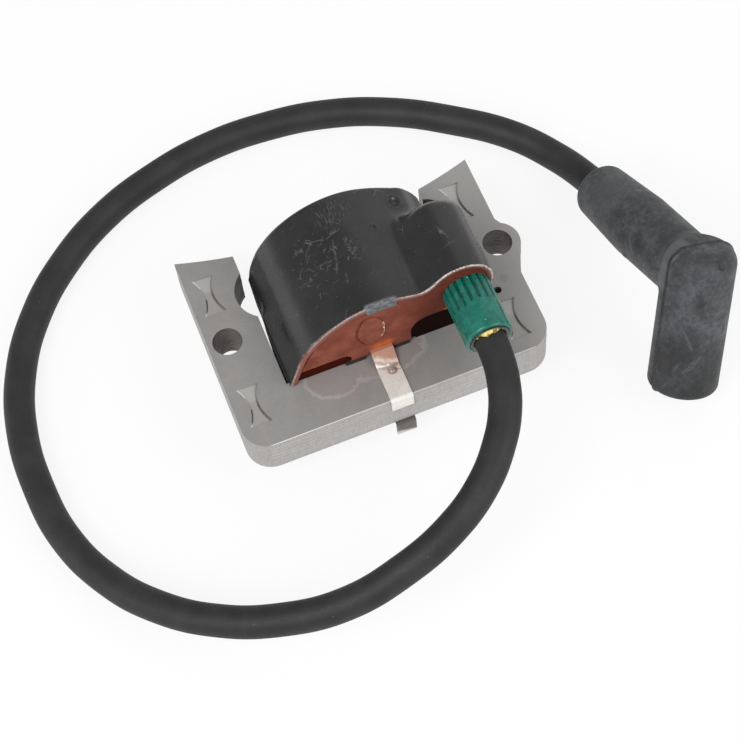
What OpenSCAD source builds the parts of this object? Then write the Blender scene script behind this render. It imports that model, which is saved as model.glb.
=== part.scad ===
// Flywheel ignition coil of a small engine, with its high-tension lead and spark plug boot.
// Frame: X runs along the base bar, Y towards the flywheel, Z up. The origin is midway between
// the two screw holes, on the core's bottom face.

/* [Core] */
// Distance between the two screw holes
hole_pitch = 63.5; // [62.5:0.1:64.5]
// Diameter of a screw hole
hole_d = 6.6; // [5.8:0.1:6.9]
// Width across the outer legs
core_w = 69.8; // [69:0.1:71]
// Centre leg's axis, measured from the middle of the hole pitch
core_axis_x = -1.3; // [-1.6:0.1:-1]
// Front face of the base bar, ahead of the hole line
bar_front = 27.5; // [27:0.1:28]
// Outer corners of the pole faces, behind the hole line
pole_corner_y = 23.2; // [22.5:0.1:24]
// Thickness of the stack of sheets
core_t = 10.2; // [9.6:0.6:10.8]
// Thickness of one sheet
sheet_t = 0.6; // [0.5:0.05:0.7]
// Width of an outer leg, of the base bar and of the centre leg
leg_w = 12.7; // [12:0.1:13]
// Radius of the flywheel that the pole faces follow
flywheel_r = 115; // [100:1:130]
// Radius of the rounded front corners
corner_r = 5.8; // [4:0.1:7]
// Radius of the ear round the right screw hole
ear_r = 5.2; // [4.8:0.1:5.6]
// Radius of the round notch in each outer leg
notch_r = 7.2; // [6.5:0.1:7.6]

/* [Housing] */
// Wall thickness of the housing
wall = 1.4; // [1:0.1:1.6]
// Outer radius of the arched crown
crown_r = 19.1; // [18.8:0.1:19.4]
// Height of the crown's axis above the core's top face
crown_rise = 1.9; // [1.6:0.1:2.2]
// Half width of the skirt at the core's top face
skirt_half = 21.6; // [21.2:0.1:22]
// Open front of the housing
housing_front = -16; // [-16.4:0.1:-15.8]
// Closed back of the housing
housing_back = 13.4; // [13:0.1:14]
// How far the housing reaches below the core
bottom_drop = 8.6; // [8.2:0.1:9.4]
// Outer radius of the lobe over the transformer
lobe_r = 7.3; // [7:0.1:7.6]
// Back end of the lobe
lobe_back = 3; // [2.4:0.1:3.4]

/* [Lead] */
// Diameter of the lead
lead_d = 7; // [6.8:0.1:7.2]
// Diameter of the lead's copper core
conductor_d = 2.1; // [1.9:0.1:2.1]
// Outer diameter of the sleeve
sleeve_d = 10.6; // [10:0.1:11]
// Mouth of the sleeve
sleeve_mouth = -28.8; // [-30:0.1:-28]
// Flutes round the rear half of the sleeve
flutes = 18; // [12:1:22]

/* [Boot] */
// Outer diameter of the barrel that takes the plug
barrel_d = 15.6; // [15:0.1:16.2]
// Length from the elbow to the barrel's mouth
barrel_l = 26.9; // [25:0.1:27]
// Length from the elbow to the end where the lead goes in
neck_l = 43.2; // [41:0.1:44]
// Diameter of the bore that takes the plug's insulator
plug_bore_d = 10.8; // [10:0.1:11.4]
// Angle by which the barrel turns away from the lead
bend = 90; // [84:1:92]

/* [Hidden] */
$fn = 64;
gap = 0.15;

core_left = core_axis_x - core_w / 2;
core_right = core_axis_x + core_w / 2;
window_half = core_w / 2 - leg_w;
bar_back = leg_w - bar_front;
flywheel_y = pole_corner_y + sqrt(flywheel_r * flywheel_r - core_w * core_w / 4);
// Side, depth and place along the leg of each round notch
notches = [[-1, 3, 9.2], [1, 5, 10.2]];
bowtie_l = 9.7;
bowtie_w = 4.75;
bowtie_waist = 1.75;
bowtie_tilt = 5;
bowties = [[-31.7, 12.5], [-31.6, -16.9], [27.4, 13.4], [27.3, -19]];
small_hole = [27.1, -11.2];
rivet_at = [-1.35, -20.7];
rivet_depth = 4;
rivet_r = 0.5;

housing_floor = core_t + 0.1;
crown_z = core_t + crown_rise;
skirt_bow = 42.9;
skirt_bow_z = core_t - 11.2;
lobe_x = 16.8;
lobe_z = core_t + 16.1;
lobe_right = lobe_x + lobe_r - 0.2;
potting_front = housing_front + 0.3;
recess = 0.5;

bobbin_half = leg_w / 2 + gap + 1;
flange_half = 13;
flange_rise = 5.9;
lug_rise = 0.8;
bobbin_front = -13.9;
bobbin_back = 11.6;
middle_flange = 6.2;

strap_x = -1.9;
strap_w = 5;
strap_t = 0.5;
strap_end = core_t - 3.6;
terminal_x = -1.6;
terminal_w = 4.5;
terminal_end = -4.7;

board_y = 6;
board_t = 1.2;
transformer_at = [16.6, core_t + 13.4];
spool_front = -11.9;
spool_back = -1.6;

sleeve_x = 18;
sleeve_z = core_t + 13.8;
sleeve_back = -14;
contact_tip = -18;

boot_at = [65.7, -29.2, 18.1];
boot_yaw = -83.6;
boot_rise = 25;
boot_roll = 71.4;
barrel_top = 7.8;
neck_end_r = 6.45;
neck_mid_r = 7.5;
neck_root_r = 7.25;
neck_gap = 0.02;
ridge = 0.3;
stem_d = 2.1;
stem_room_r = 2;
jacket_end = -12;
stem_start = -22.5;
clip_r = 4.1;

lead_r = lead_d / 2;
// The swept stretch of the lead lies just inside its straight ends, and its bore just inside theirs
swept_r = lead_r - 0.04;
swept_bore_r = conductor_d / 2 + 0.07;
end_bore_r = swept_bore_r + 0.02;
end_core_r = 0.9 * conductor_d / 2;
boot_axis = [cos(boot_rise) * cos(boot_yaw), cos(boot_rise) * sin(boot_yaw), sin(boot_rise)];
function boot_point(x) = boot_at + x * boot_axis;

// Route of the lead from the sleeve's mouth to the boot. It comes down on the left and lies on
// the surface that the housing stands on.
lead_route = concat(
    [
        [18, -28, 24], [18, -31, 24], [17.7, -34, 23.7], [16.8, -38.8, 23.1], [14.7, -44.5, 22.3],
        [10.8, -50.6, 21.2], [4.7, -56.7, 18.9], [-4.2, -61.8, 15.9], [-16.3, -65.1, 12.1],
        [-29.6, -65.8, 8], [-43, -62.5, 4.6], [-55, -56.5, 1.8], [-65.5, -47.5, -1.2], [-73.5, -36.5, -3.7],
        [-79, -23.5, -4.9], [-81, -10, -5], [-80.5, 5, -5], [-76.5, 19.5, -5], [-69, 32.5, -5],
        [-58.5, 43.5, -5], [-46, 52, -5], [-32, 57.5, -5], [-17.5, 60.5, -5], [-2.5, 60.5, -5],
        [12, 58, -5], [26, 52.4, -4.9], [38.4, 44, -4.3], [49.9, 34.7, -4.8], [57.2, 24.6, -4.8]
    ],
    [boot_point(-neck_l - 5), boot_point(-neck_l - 2)]
);

// Points of an arc about a centre
function arc(centre, r, from, to, steps = 8) =
    [for (i = [0:steps]) let (a = from + (to - from) * i / steps) centre + r * [cos(a), sin(a)]];
function unit(v) = v / norm(v);
function route_dir(p, i) = unit(p[min(i + 1, len(p) - 1)] - p[max(i - 1, 0)]);
// Ring of points round one route point, upright so that neighbouring rings line up
function ring(p, i, r, sides) =
    let (d = route_dir(p, i), side = unit(cross(d, [0, 0, 1])), up = cross(side, d))
    [for (k = [0:sides - 1]) let (a = 360 * (k + 0.5) / sides) p[i] + r * (cos(a) * side + sin(a) * up)];

// Tube of the given radius along a route
module tube_along(p, r, sides) {
    n = len(p);
    points = [for (i = [0:n - 1]) each ring(p, i, r, sides)];
    walls = [
        for (i = [0:n - 2]) for (k = [0:sides - 1])
            let (a = i * sides + k, b = i * sides + (k + 1) % sides, c = b + sides, d = a + sides)
            each [[a, b, c], [a, c, d]]
    ];
    first = [for (k = [1:sides - 2]) [0, k + 1, k]];
    last = [for (k = [1:sides - 2]) let (o = (n - 1) * sides) [o, o + k, o + k + 1]];
    polyhedron(points, concat(walls, first, last));
}

// Cylinder along Y between two places
module rod_y(x, z, r, from, to) {
    translate([x, to, z]) rotate([90, 0, 0]) cylinder(r = r, h = to - from);
}

// Cylinder along X between two places
module rod_x(y, z, r, from, to) {
    translate([from, y, z]) rotate([0, 90, 0]) cylinder(r = r, h = to - from);
}

// Side profile in (y, z), made as wide as a strip
module strip(x, width, points) {
    translate([x - width / 2, 0, 0]) rotate([90, 0, 90]) linear_extrude(width) polygon(points);
}

// Front profile in (x, z), run along Y
module run_y(from, to, points) {
    translate([0, to, 0]) rotate([90, 0, 0]) linear_extrude(to - from) polygon(points);
}

// Box round the centre leg, grown to the sides and up and down
module leg_box(half, rise, from, to) {
    translate([core_axis_x - half, from, -rise]) cube([2 * half, to - from, core_t + 2 * rise]);
}

// Outline shared by every sheet, extruded to a thickness
module core_plate(z, t) {
    front = -bar_front;
    back = pole_corner_y + 1;
    outline = concat(
        [[core_right, back], [core_left, back]],
        arc([core_left + corner_r, front + corner_r], corner_r, 180, 270),
        arc([core_right - corner_r, front + corner_r], corner_r, 270, 360)
    );
    hole_x = hole_pitch / 2;
    ear_in = ear_r - 0.4;
    ear = [
        [core_right - 2, 7], [core_right, 5.9], [hole_x + ear_in * cos(50), ear_in * sin(50)],
        [hole_x + ear_in * cos(20), -ear_in * sin(20)], [core_right, -9], [core_right - 2, -10]
    ];
    translate([0, 0, z]) difference() {
        union() {
            linear_extrude(t) polygon(outline);
            linear_extrude(t) polygon(ear);
            translate([hole_x, 0, 0]) cylinder(r = ear_r, h = t);
        }
        for (side = [-1, 1]) {
            near = core_axis_x + side * leg_w / 2;
            far = core_axis_x + side * window_half;
            translate([min(near, far), bar_back, -1]) cube([abs(far - near), 60, t + 2]);
            translate([side * hole_x, 0, -1]) cylinder(d = hole_d, h = t + 2);
        }
        for (notch = notches)
            translate([core_axis_x + notch[0] * (window_half + notch[1] - notch_r), notch[2], -1])
                cylinder(r = notch_r, h = t + 2);
        translate([core_axis_x, flywheel_y, -1]) cylinder(r = flywheel_r, h = t + 2, $fn = 240);
        translate([small_hole[0], small_hole[1], -1]) cylinder(d = 1.7, h = t + 2);
    }
}

// Bow-tie cutter whose floor is level with the surface on its left side and deep on its right
module bowtie_cut() {
    tip_cut = 0.05;
    sag = (bowtie_w - bowtie_waist) / 2 - tip_cut;
    side_r = (bowtie_l * bowtie_l / 4 + sag * sag) / (2 * sag);
    rotate([0, bowtie_tilt, 0]) difference() {
        translate([0, -bowtie_l / 2, 0]) cube([bowtie_w, bowtie_l, 2]);
        for (x = [bowtie_w / 2 - bowtie_waist / 2 - side_r, bowtie_w / 2 + bowtie_waist / 2 + side_r])
            translate([x, 0, -1]) cylinder(r = side_r, h = 4);
    }
}

module core_top_sheet() {
    color([0.56, 0.54, 0.53]) difference() {
        core_plate(core_t - sheet_t, sheet_t);
        for (at = bowties) translate([at[0] - bowtie_w / 2, at[1], core_t - 0.02]) bowtie_cut();
        translate([rivet_at[0], rivet_at[1], 0]) cylinder(r = rivet_r, h = core_t + 1);
    }
}

module core_stack() {
    color([0.5, 0.48, 0.47]) difference() {
        core_plate(sheet_t, core_t - 2 * sheet_t);
        translate([rivet_at[0], rivet_at[1], core_t - rivet_depth]) cylinder(r = rivet_r, h = core_t);
    }
}

module core_bottom_sheet() {
    color([0.53, 0.51, 0.5]) core_plate(0, sheet_t);
}

// Round body along Y with a rounded back edge
module round_back(x, z, r, front, back, fillet) {
    profile = concat([[0, front], [r, front]], arc([r - fillet, back - fillet], fillet, 0, 90), [[0, back]]);
    translate([x, 0, z]) rotate([-90, 0, 0]) rotate_extrude($fn = 96) polygon(profile);
}

// Outer shape of the housing, drawn in by an inset for its inside
module housing_form(inset, front) {
    back = housing_back - inset;
    half = skirt_half - inset;
    low_half = half - 0.6;
    low_r = 8 - inset;
    low = inset - bottom_drop;
    right_side = concat(
        arc([half - skirt_bow + 1.5, skirt_bow_z - 0.4 * inset], skirt_bow, 30, 15.3, 5),
        arc([low_half - low_r, low + low_r], low_r, 0, -90)
    );
    n = len(right_side);
    skirt = concat(
        [for (p = right_side) [core_axis_x + p[0], p[1]]],
        [for (i = [n - 1:-1:0]) [core_axis_x - right_side[i][0], right_side[i][1]]]
    );
    round_back(core_axis_x, crown_z, crown_r - inset, front, back, max(1 - inset, 0.2));
    run_y(front, back - 0.3, skirt);

    lobe_end = lobe_back - inset;
    right = lobe_right - inset;
    round_back(lobe_x, lobe_z, lobe_r - inset, front, lobe_end, 3.4 - inset);
    lobe_floor = housing_floor + inset;
    translate([0, 0, lobe_floor]) linear_extrude(lobe_z + 0.4 - lobe_floor) polygon(concat(
        [[9, front], [right, front]], arc([right - 3, lobe_end - 3], 3, 0, 90), [[9, lobe_end]]
    ));
    valley = [[6.2, 3.5], [8.3, 3.2], [10.1, 3.7], [11.7, 5]];
    translate([0, 0, lobe_z])
        run_y(front, lobe_end - 0.6, concat([[5, 0.1]], [for (p = valley) p - [0, inset]], [[13, 0.1]]));
}

// Raised shoulder of the crown, from the lobe to the back
module shoulder() {
    translate([0, 0, crown_z]) run_y(0, housing_back - 0.2, [
        [12.2, 12.3], [12.8, 13.7], [14.2, 12.8], [15.2, 11.6], [16, 10.1], [16.8, 8.5], [17.4, 6.8],
        [17.8, 5.5], [18, 4.3], [14, 1.3]
    ]);
}

// Room for the base bar, which crosses the open front of the housing
module bar_room() {
    translate([-60, -60, -0.1]) cube([120, 60 + bar_back + 0.1, core_t + 0.2]);
}

module coil_housing() {
    color([0.07, 0.07, 0.075]) difference() {
        union() {
            housing_form(0, housing_front);
            shoulder();
        }
        housing_form(wall, housing_front - 1);
        bar_room();
        leg_box(leg_w / 2 + gap + 0.1, gap + 0.1, 5, 20);
        rod_y(sleeve_x, sleeve_z, sleeve_d / 2 + 0.05, housing_front - 1, sleeve_back + 0.05);
    }
}

module potting() {
    color([0.45, 0.16, 0.1]) difference() {
        union() {
            housing_form(wall, potting_front);
            run_y(potting_front - 0.3, potting_front + 1, [
                for (a = [0:7.5:355]) [-3.75 + 3.1 * cos(a), core_t + 11.1 + 5.3 * sin(a)]
            ]);
        }
        bar_room();
        leg_box(bobbin_half, gap + 1, -20, 20);
        leg_box(flange_half, flange_rise, bobbin_front, bobbin_back);
        run_y(-20, potting_front + recess, concat(
            [[-24, core_t], [-24, core_t + 4.1]], arc([-10.6, core_t + 2.05], 2.05, 90, -90)
        ));
        run_y(-20, potting_front + recess, concat(
            [[26, core_t], [5.1, core_t]], arc([9.3, core_t + 4.2], 4.2, 180, 90), [[26, core_t + 8.4]]
        ));
        bobbin_lugs();
        ground_strap();
        stop_terminal();
        circuit_board();
        storage_capacitor();
        thyristor();
        rectifier_diodes();
        gate_resistor();
        rod_y(transformer_at[0], transformer_at[1], 5.4, spool_front, spool_back);
        rod_y(sleeve_x, sleeve_z, sleeve_d / 2, -40, sleeve_back);
        lead_contact();
    }
}

// Lugs of the former that show at the foot of the resin, either side of the strap
module bobbin_lugs() {
    for (span = [[-10, -5.6], [1.2, 4.6]])
        translate([span[0], housing_front + 0.1, core_t + gap])
            cube([span[1] - span[0], bobbin_front - housing_front, lug_rise]);
}

module coil_bobbin() {
    color([0.1, 0.1, 0.1]) {
        difference() {
            union() {
                leg_box(bobbin_half, gap + 1, bobbin_front, bobbin_back);
                leg_box(flange_half, flange_rise, bobbin_front, bobbin_front + 1);
                leg_box(flange_half, flange_rise, middle_flange, middle_flange + 0.8);
                leg_box(flange_half, flange_rise, bobbin_back - 1, bobbin_back);
                bobbin_lugs();
            }
            leg_box(leg_w / 2 + gap, gap, -20, 20);
        }
    }
}

// Winding of a given build on the former
module winding(build, from, to) {
    difference() {
        leg_box(bobbin_half + 0.05 + build, gap + 1.05 + build, from, to);
        leg_box(bobbin_half + 0.05, gap + 1.05, from - 1, to + 1);
    }
}

module charge_winding() {
    color([0.72, 0.38, 0.2]) winding(4.2, bobbin_front + 1.1, middle_flange - 0.1);
}

module winding_wrap() {
    color([0.8, 0.72, 0.4]) difference() {
        leg_box(bobbin_half + 4.7, gap + 5.7, bobbin_front + 1.1, middle_flange - 0.1);
        leg_box(bobbin_half + 4.3, gap + 5.3, bobbin_front, middle_flange);
    }
}

module trigger_winding() {
    color([0.72, 0.38, 0.2]) winding(2.6, middle_flange + 0.9, bobbin_back - 1.1);
}

module ground_strap() {
    top = core_t + 0.05 + strap_t;
    face = -bar_front - 0.05;
    color([0.75, 0.73, 0.68]) difference() {
        strip(strap_x, strap_w, concat(
            [[-14.2, core_t + 2.2], [-14.2, core_t + 2.7], [-16.4, core_t + 2.5], [-19.4, top]],
            arc([face + 0.2, top - 0.7], 0.7, 90, 180, 5),
            [[face - strap_t, strap_end], [face, strap_end]],
            [[face, top - strap_t - 0.2], [face + 0.2, top - strap_t]],
            [[-19.55, top - strap_t], [-16.55, core_t + 2.02]]
        ));
        translate([rivet_at[0], rivet_at[1], core_t - 1]) cylinder(r = rivet_r, h = 3);
    }
}

module strap_rivet() {
    top = core_t + 0.05 + strap_t;
    color([0.7, 0.66, 0.6]) translate([rivet_at[0], rivet_at[1], 0]) {
        translate([0, 0, top]) rotate_extrude()
            polygon([[0, 0], [0.9, 0], [0.82, 0.25], [0.55, 0.45], [0, 0.52]]);
        translate([0, 0, core_t - rivet_depth])
            cylinder(r = rivet_r, h = top + 0.2 - core_t + rivet_depth);
    }
}

module stop_terminal() {
    face = -bar_front - 0.25;
    color([0.7, 0.68, 0.63]) strip(terminal_x, terminal_w, concat(
        [[-14.4, -0.2], [face, -0.2]],
        arc([face, -0.75], 0.55, 90, 180, 5),
        [[face - 0.55, terminal_end], [face, terminal_end], [face, -0.75], [-14.4, -0.75]]
    ));
}

module circuit_board() {
    color([0.15, 0.3, 0.18]) translate([-12, board_y, core_t + 6.5]) cube([20, board_t, 8.2]);
}

module storage_capacitor() {
    color([0.6, 0.45, 0.15]) round_back(-4.2, core_t + 11.4, 4.4, -14.2, 3.5, 0.8);
}

module thyristor() {
    color([0.08, 0.08, 0.08]) {
        difference() {
            translate([4.5, 3.1, core_t + 7.2]) cylinder(r = 2.4, h = 4.6);
            translate([0, 4.6, core_t + 6.2]) cube([10, 5, 8]);
        }
        for (k = [-1:1]) rod_y(4.5 + 1.27 * k, core_t + 8.2, 0.25, 4.4, board_y);
    }
}

// Small axial component on the back of the board, with its bent wires
module axial_part(x, z, r, length) {
    y = board_y + board_t + 2;
    reach = length / 2 + 1.2;
    rod_x(y, z, r, x - length / 2, x + length / 2);
    rod_x(y, z, 0.35, x - reach, x + reach);
    for (side = [-1, 1]) rod_y(x + side * (reach - 0.35), z, 0.3, board_y + board_t, y);
}

module rectifier_diodes() {
    color([0.12, 0.12, 0.13]) for (rise = [8.5, 12.5]) axial_part(-6.5, core_t + rise, 1.35, 5.2);
}

module gate_resistor() {
    color([0.7, 0.6, 0.42]) axial_part(2.6, core_t + 10.5, 1.15, 6.3);
}

// Round sleeve on the transformer's axis
module transformer_ring(inner, outer, from, to) {
    difference() {
        rod_y(transformer_at[0], transformer_at[1], outer, from, to);
        rod_y(transformer_at[0], transformer_at[1], inner, from - 1, to + 1);
    }
}

module transformer_core() {
    color([0.2, 0.2, 0.21]) rod_y(transformer_at[0], transformer_at[1], 2.2, spool_front, spool_back);
}

module transformer_spool() {
    color([0.85, 0.83, 0.76]) {
        transformer_ring(2.2, 2.9, spool_front, spool_back);
        transformer_ring(2.5, 5.4, spool_front, spool_front + 0.8);
        transformer_ring(2.5, 5.4, spool_back - 0.8, spool_back);
    }
}

module primary_winding() {
    color([0.72, 0.38, 0.2]) transformer_ring(2.9, 3.6, spool_front + 0.9, spool_back - 0.9);
}

module secondary_winding() {
    color([0.65, 0.33, 0.18]) transformer_ring(3.65, 5.2, spool_front + 0.9, spool_back - 0.9);
}

module lead_contact() {
    color([0.8, 0.65, 0.3]) {
        rod_y(sleeve_x, sleeve_z, 1.8, -13.4, -12.8);
        rod_y(sleeve_x, sleeve_z, 0.6, contact_tip, spool_front);
    }
}

module lead_sleeve() {
    color([0.05, 0.4, 0.33]) difference() {
        rod_y(sleeve_x, sleeve_z, sleeve_d / 2, sleeve_mouth, sleeve_back);
        rod_y(sleeve_x, sleeve_z, lead_r, sleeve_mouth - 1, sleeve_back - 0.8);
        rod_y(sleeve_x, sleeve_z, 4.4, sleeve_mouth - 1, sleeve_mouth + 1);
        rod_y(sleeve_x, sleeve_z, 0.6, sleeve_back - 3, sleeve_back + 1);
        for (k = [0:flutes - 1]) {
            turn = 360 * k / flutes;
            r = sleeve_d / 2 + 0.15;
            rod_y(sleeve_x + r * cos(turn), sleeve_z + r * sin(turn), 0.55, -21.6, -13);
        }
    }
}

module sleeve_seal() {
    color([0.8, 0.68, 0.15]) difference() {
        rod_y(sleeve_x, sleeve_z, 4.4, sleeve_mouth - 0.25, sleeve_mouth + 1);
        rod_y(sleeve_x, sleeve_z, lead_r, sleeve_mouth - 1, sleeve_mouth + 2);
    }
}

// Places a shape from the boot's own frame, whose X runs from the lead into the elbow
module in_boot() {
    translate(boot_at) rotate([0, 0, boot_yaw]) rotate([0, -boot_rise, 0])
        rotate([boot_roll, 0, 0]) children();
}

// Turns a shape onto the barrel's axis, in the boot's own frame
module on_barrel() {
    rotate([0, 0, -bend]) children();
}

// Cylinder along the boot's own X
module boot_rod(r, from, to) {
    translate([from, 0, 0]) rotate([0, 90, 0]) cylinder(r = r, h = to - from);
}

module lead_jacket() {
    color([0.1, 0.1, 0.105]) difference() {
        union() {
            tube_along(lead_route, swept_r, 12);
            rod_y(sleeve_x, sleeve_z, lead_r, sleeve_mouth - 1.2, sleeve_back - 0.8);
            in_boot() boot_rod(lead_r, -neck_l - 3, jacket_end);
        }
        tube_along(lead_route, swept_bore_r, 8);
        rod_y(sleeve_x, sleeve_z, end_bore_r, sleeve_mouth, sleeve_back);
        in_boot() boot_rod(end_bore_r, -neck_l - 2.5, 0);
    }
}

module lead_conductor() {
    color([0.72, 0.45, 0.25]) {
        tube_along(lead_route, conductor_d / 2, 8);
        rod_y(sleeve_x, sleeve_z, end_core_r, sleeve_mouth, contact_tip);
        in_boot() boot_rod(end_core_r, -neck_l - 2.5, stem_start - 0.2);
    }
}

// Outer form of the neck, from the lead to the elbow
module neck_form() {
    rotate([0, 90, 0]) rotate_extrude($fn = 72) polygon(concat(
        [[0, -neck_l]], arc([neck_end_r - 1.5, 1.5 - neck_l], 1.5, -90, 0, 5),
        [[neck_mid_r, -0.57 * neck_l], [neck_root_r, 0.5], [0, 0.5]]
    ));
}

// Outer form of the barrel on its own axis, grown a little for the parting ridge
module barrel_form(grow) {
    r = barrel_d / 2 + grow;
    rotate([0, 90, 0]) rotate_extrude($fn = 72) polygon(concat(
        [[0, -barrel_top - grow]], arc([r - 4, 4 - barrel_top - grow], 4, -90, 0),
        arc([r - 1.4, barrel_l - 1.4], 1.4, 0, 90, 5), [[0, barrel_l]]
    ));
}

// Barrel of the boot. The neck is the same moulding, kept apart so that each stays a simple form.
module plug_boot() {
    color([0.2, 0.21, 0.22]) in_boot() difference() {
        on_barrel() {
            barrel_form(0);
            intersection() {
                barrel_form(ridge);
                translate([-60, -ridge, -60]) cube([120, 2 * ridge, 120]);
            }
        }
        boot_rod(stem_room_r, jacket_end, 0);
        on_barrel() {
            boot_rod(plug_bore_d / 2, 3, barrel_l + 5);
            boot_rod(clip_r + 0.1, -4.5, 4);
        }
    }
}

module boot_neck() {
    color([0.2, 0.21, 0.22]) in_boot() difference() {
        neck_form();
        on_barrel() barrel_form(neck_gap);
        boot_rod(lead_r + 0.05, -neck_l - 2, jacket_end + 0.3);
        boot_rod(stem_room_r, jacket_end, 0);
    }
}

module plug_clip() {
    color([0.75, 0.72, 0.66]) in_boot() on_barrel() difference() {
        boot_rod(clip_r, -4, 2.8);
        boot_rod(3.35, -3.2, 4);
        translate([-2.5, 1, -0.6]) cube([8, 6, 1.2]);
    }
}

module clip_stem() {
    color([0.7, 0.66, 0.58]) in_boot() difference() {
        boot_rod(stem_d / 2, stem_start, 0);
        on_barrel() boot_rod(clip_r, -8, 8);
    }
}

core_top_sheet();
core_stack();
core_bottom_sheet();
coil_housing();
potting();
coil_bobbin();
charge_winding();
winding_wrap();
trigger_winding();
ground_strap();
strap_rivet();
stop_terminal();
circuit_board();
storage_capacitor();
thyristor();
rectifier_diodes();
gate_resistor();
transformer_core();
transformer_spool();
primary_winding();
secondary_winding();
lead_contact();
lead_sleeve();
sleeve_seal();
lead_jacket();
lead_conductor();
plug_boot();
boot_neck();
plug_clip();
clip_stem();
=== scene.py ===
"""Looks of a flywheel ignition coil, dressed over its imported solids. Meshes are in metres, shapes in mm."""
import math
import random

import bmesh
import bpy
import numpy as np
from mathutils import Matrix, Vector


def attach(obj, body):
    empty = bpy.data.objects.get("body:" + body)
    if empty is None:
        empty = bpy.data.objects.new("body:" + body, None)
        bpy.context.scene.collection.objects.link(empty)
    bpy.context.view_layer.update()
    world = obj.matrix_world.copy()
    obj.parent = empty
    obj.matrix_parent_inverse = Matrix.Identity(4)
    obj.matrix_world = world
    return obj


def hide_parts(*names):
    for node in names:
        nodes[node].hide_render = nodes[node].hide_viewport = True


MM = 0.001
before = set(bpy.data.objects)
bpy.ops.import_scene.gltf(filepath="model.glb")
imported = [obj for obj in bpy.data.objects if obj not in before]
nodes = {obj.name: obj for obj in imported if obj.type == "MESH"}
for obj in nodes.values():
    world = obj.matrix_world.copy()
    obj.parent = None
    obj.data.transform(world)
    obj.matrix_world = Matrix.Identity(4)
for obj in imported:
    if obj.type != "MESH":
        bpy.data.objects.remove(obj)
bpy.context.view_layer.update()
scene = bpy.context.scene
scene.view_settings.view_transform = "Standard"

# Sizes shared with the solids, in mm
CORE_T = 10.2
SHEET_T = 0.6
CORE_AXIS_X = -1.3
WALL = 1.4
HOUSING_FRONT = -16.0
HOUSING_BACK = 13.4
BAR_FRONT = -27.5
HOUSING_LOW = -8.6
CROWN_R, CROWN_Z = 19.1, 12.1
SKIRT_HALF = 21.6
LOBE_R, LOBE_X, LOBE_Z, LOBE_BACK = 7.3, 16.8, 26.3, 3.0
SLEEVE_X, SLEEVE_Z, SLEEVE_R = 18.0, 24.0, 5.3
SLEEVE_MOUTH, SLEEVE_BACK = -28.8, -14.0
LEAD_R = 3.5
BOOT_AT = np.array([65.7, -29.2, 18.1])
BOOT_YAW, BOOT_RISE, BOOT_ROLL = -83.6, 25.0, 71.4
NECK_L, BARREL_L, BARREL_R, BARREL_TOP = 43.2, 26.9, 7.8, 7.8


# Camera at the photograph's viewing angle: its angles in degrees and its place in mm
CAMERA_TURN, CAMERA_RISE, CAMERA_ROLL = -14.75, 61.79, -7.35
CAMERA_AT = (-57.34, -214.68, 388.04)
CAMERA_SENSOR, CAMERA_LENS = 36, 97.3


def make_camera():
    turn, rise, roll = (math.radians(a) for a in (CAMERA_TURN, CAMERA_RISE, CAMERA_ROLL))
    back = Vector((math.sin(turn) * math.cos(rise), -math.cos(turn) * math.cos(rise), math.sin(rise)))
    right = Vector((math.cos(turn), math.sin(turn), 0))
    up = back.cross(right)
    side = math.cos(roll) * right + math.sin(roll) * up
    top = -math.sin(roll) * right + math.cos(roll) * up
    data = bpy.data.cameras.new("camera")
    data.sensor_width = CAMERA_SENSOR
    data.lens = CAMERA_LENS
    data.clip_start, data.clip_end = 0.01, 10
    camera = bpy.data.objects.new("camera", data)
    scene.collection.objects.link(camera)
    x, y, z = (place * MM for place in CAMERA_AT)
    camera.matrix_world = Matrix((
        (side.x, top.x, back.x, x),
        (side.y, top.y, back.y, y),
        (side.z, top.z, back.z, z),
        (0, 0, 0, 1),
    ))
    scene.camera = camera


def boot_turn():
    """Rotation from the boot's own frame, whose X runs from the lead into the elbow."""
    yaw, rise, roll = (math.radians(a) for a in (BOOT_YAW, -BOOT_RISE, BOOT_ROLL))
    turn = Matrix.Rotation(yaw, 3, "Z") @ Matrix.Rotation(rise, 3, "Y") @ Matrix.Rotation(roll, 3, "X")
    return np.array(turn)


BOOT_TURN = boot_turn()


def boot_point(x):
    """Place on the axis of the boot's neck."""
    return BOOT_AT + x * BOOT_TURN[:, 0]


# Route of the lead's middle line from inside the sleeve to inside the boot
LEAD_ROUTE = [
    (18, -15, 24), (18, -21.5, 24), (18, -28, 24), (17.7, -34, 23.7), (16.8, -38.8, 23.1),
    (14.7, -44.5, 22.3), (10.8, -50.6, 21.2), (4.7, -56.7, 18.9), (-4.2, -61.8, 15.9),
    (-16.3, -65.1, 12.1), (-29.6, -65.8, 8), (-43, -62.5, 4.6), (-55, -56.5, 1.8), (-65.5, -47.5, -1.2),
    (-73.5, -36.5, -3.7), (-79, -23.5, -4.9), (-81, -10, -5), (-80.5, 5, -5), (-76.5, 19.5, -5),
    (-69, 32.5, -5), (-58.5, 43.5, -5), (-46, 52, -5), (-32, 57.5, -5), (-17.5, 60.5, -5),
    (-2.5, 60.5, -5), (12, 58, -5), (26, 52.4, -4.9), (38.4, 44, -4.3), (49.9, 34.7, -4.8),
    (57.2, 24.6, -4.8),
] + [boot_point(x) for x in (-NECK_L - 5, -NECK_L + 4, -NECK_L + 16, -NECK_L + 30)]


def link(name, data, body, *replaced):
    """New piece that rides on a body and stands for the named solids."""
    piece = bpy.data.objects.new(name, data)
    scene.collection.objects.link(piece)
    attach(piece, body)
    if replaced:
        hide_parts(*replaced)
    return piece


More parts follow.
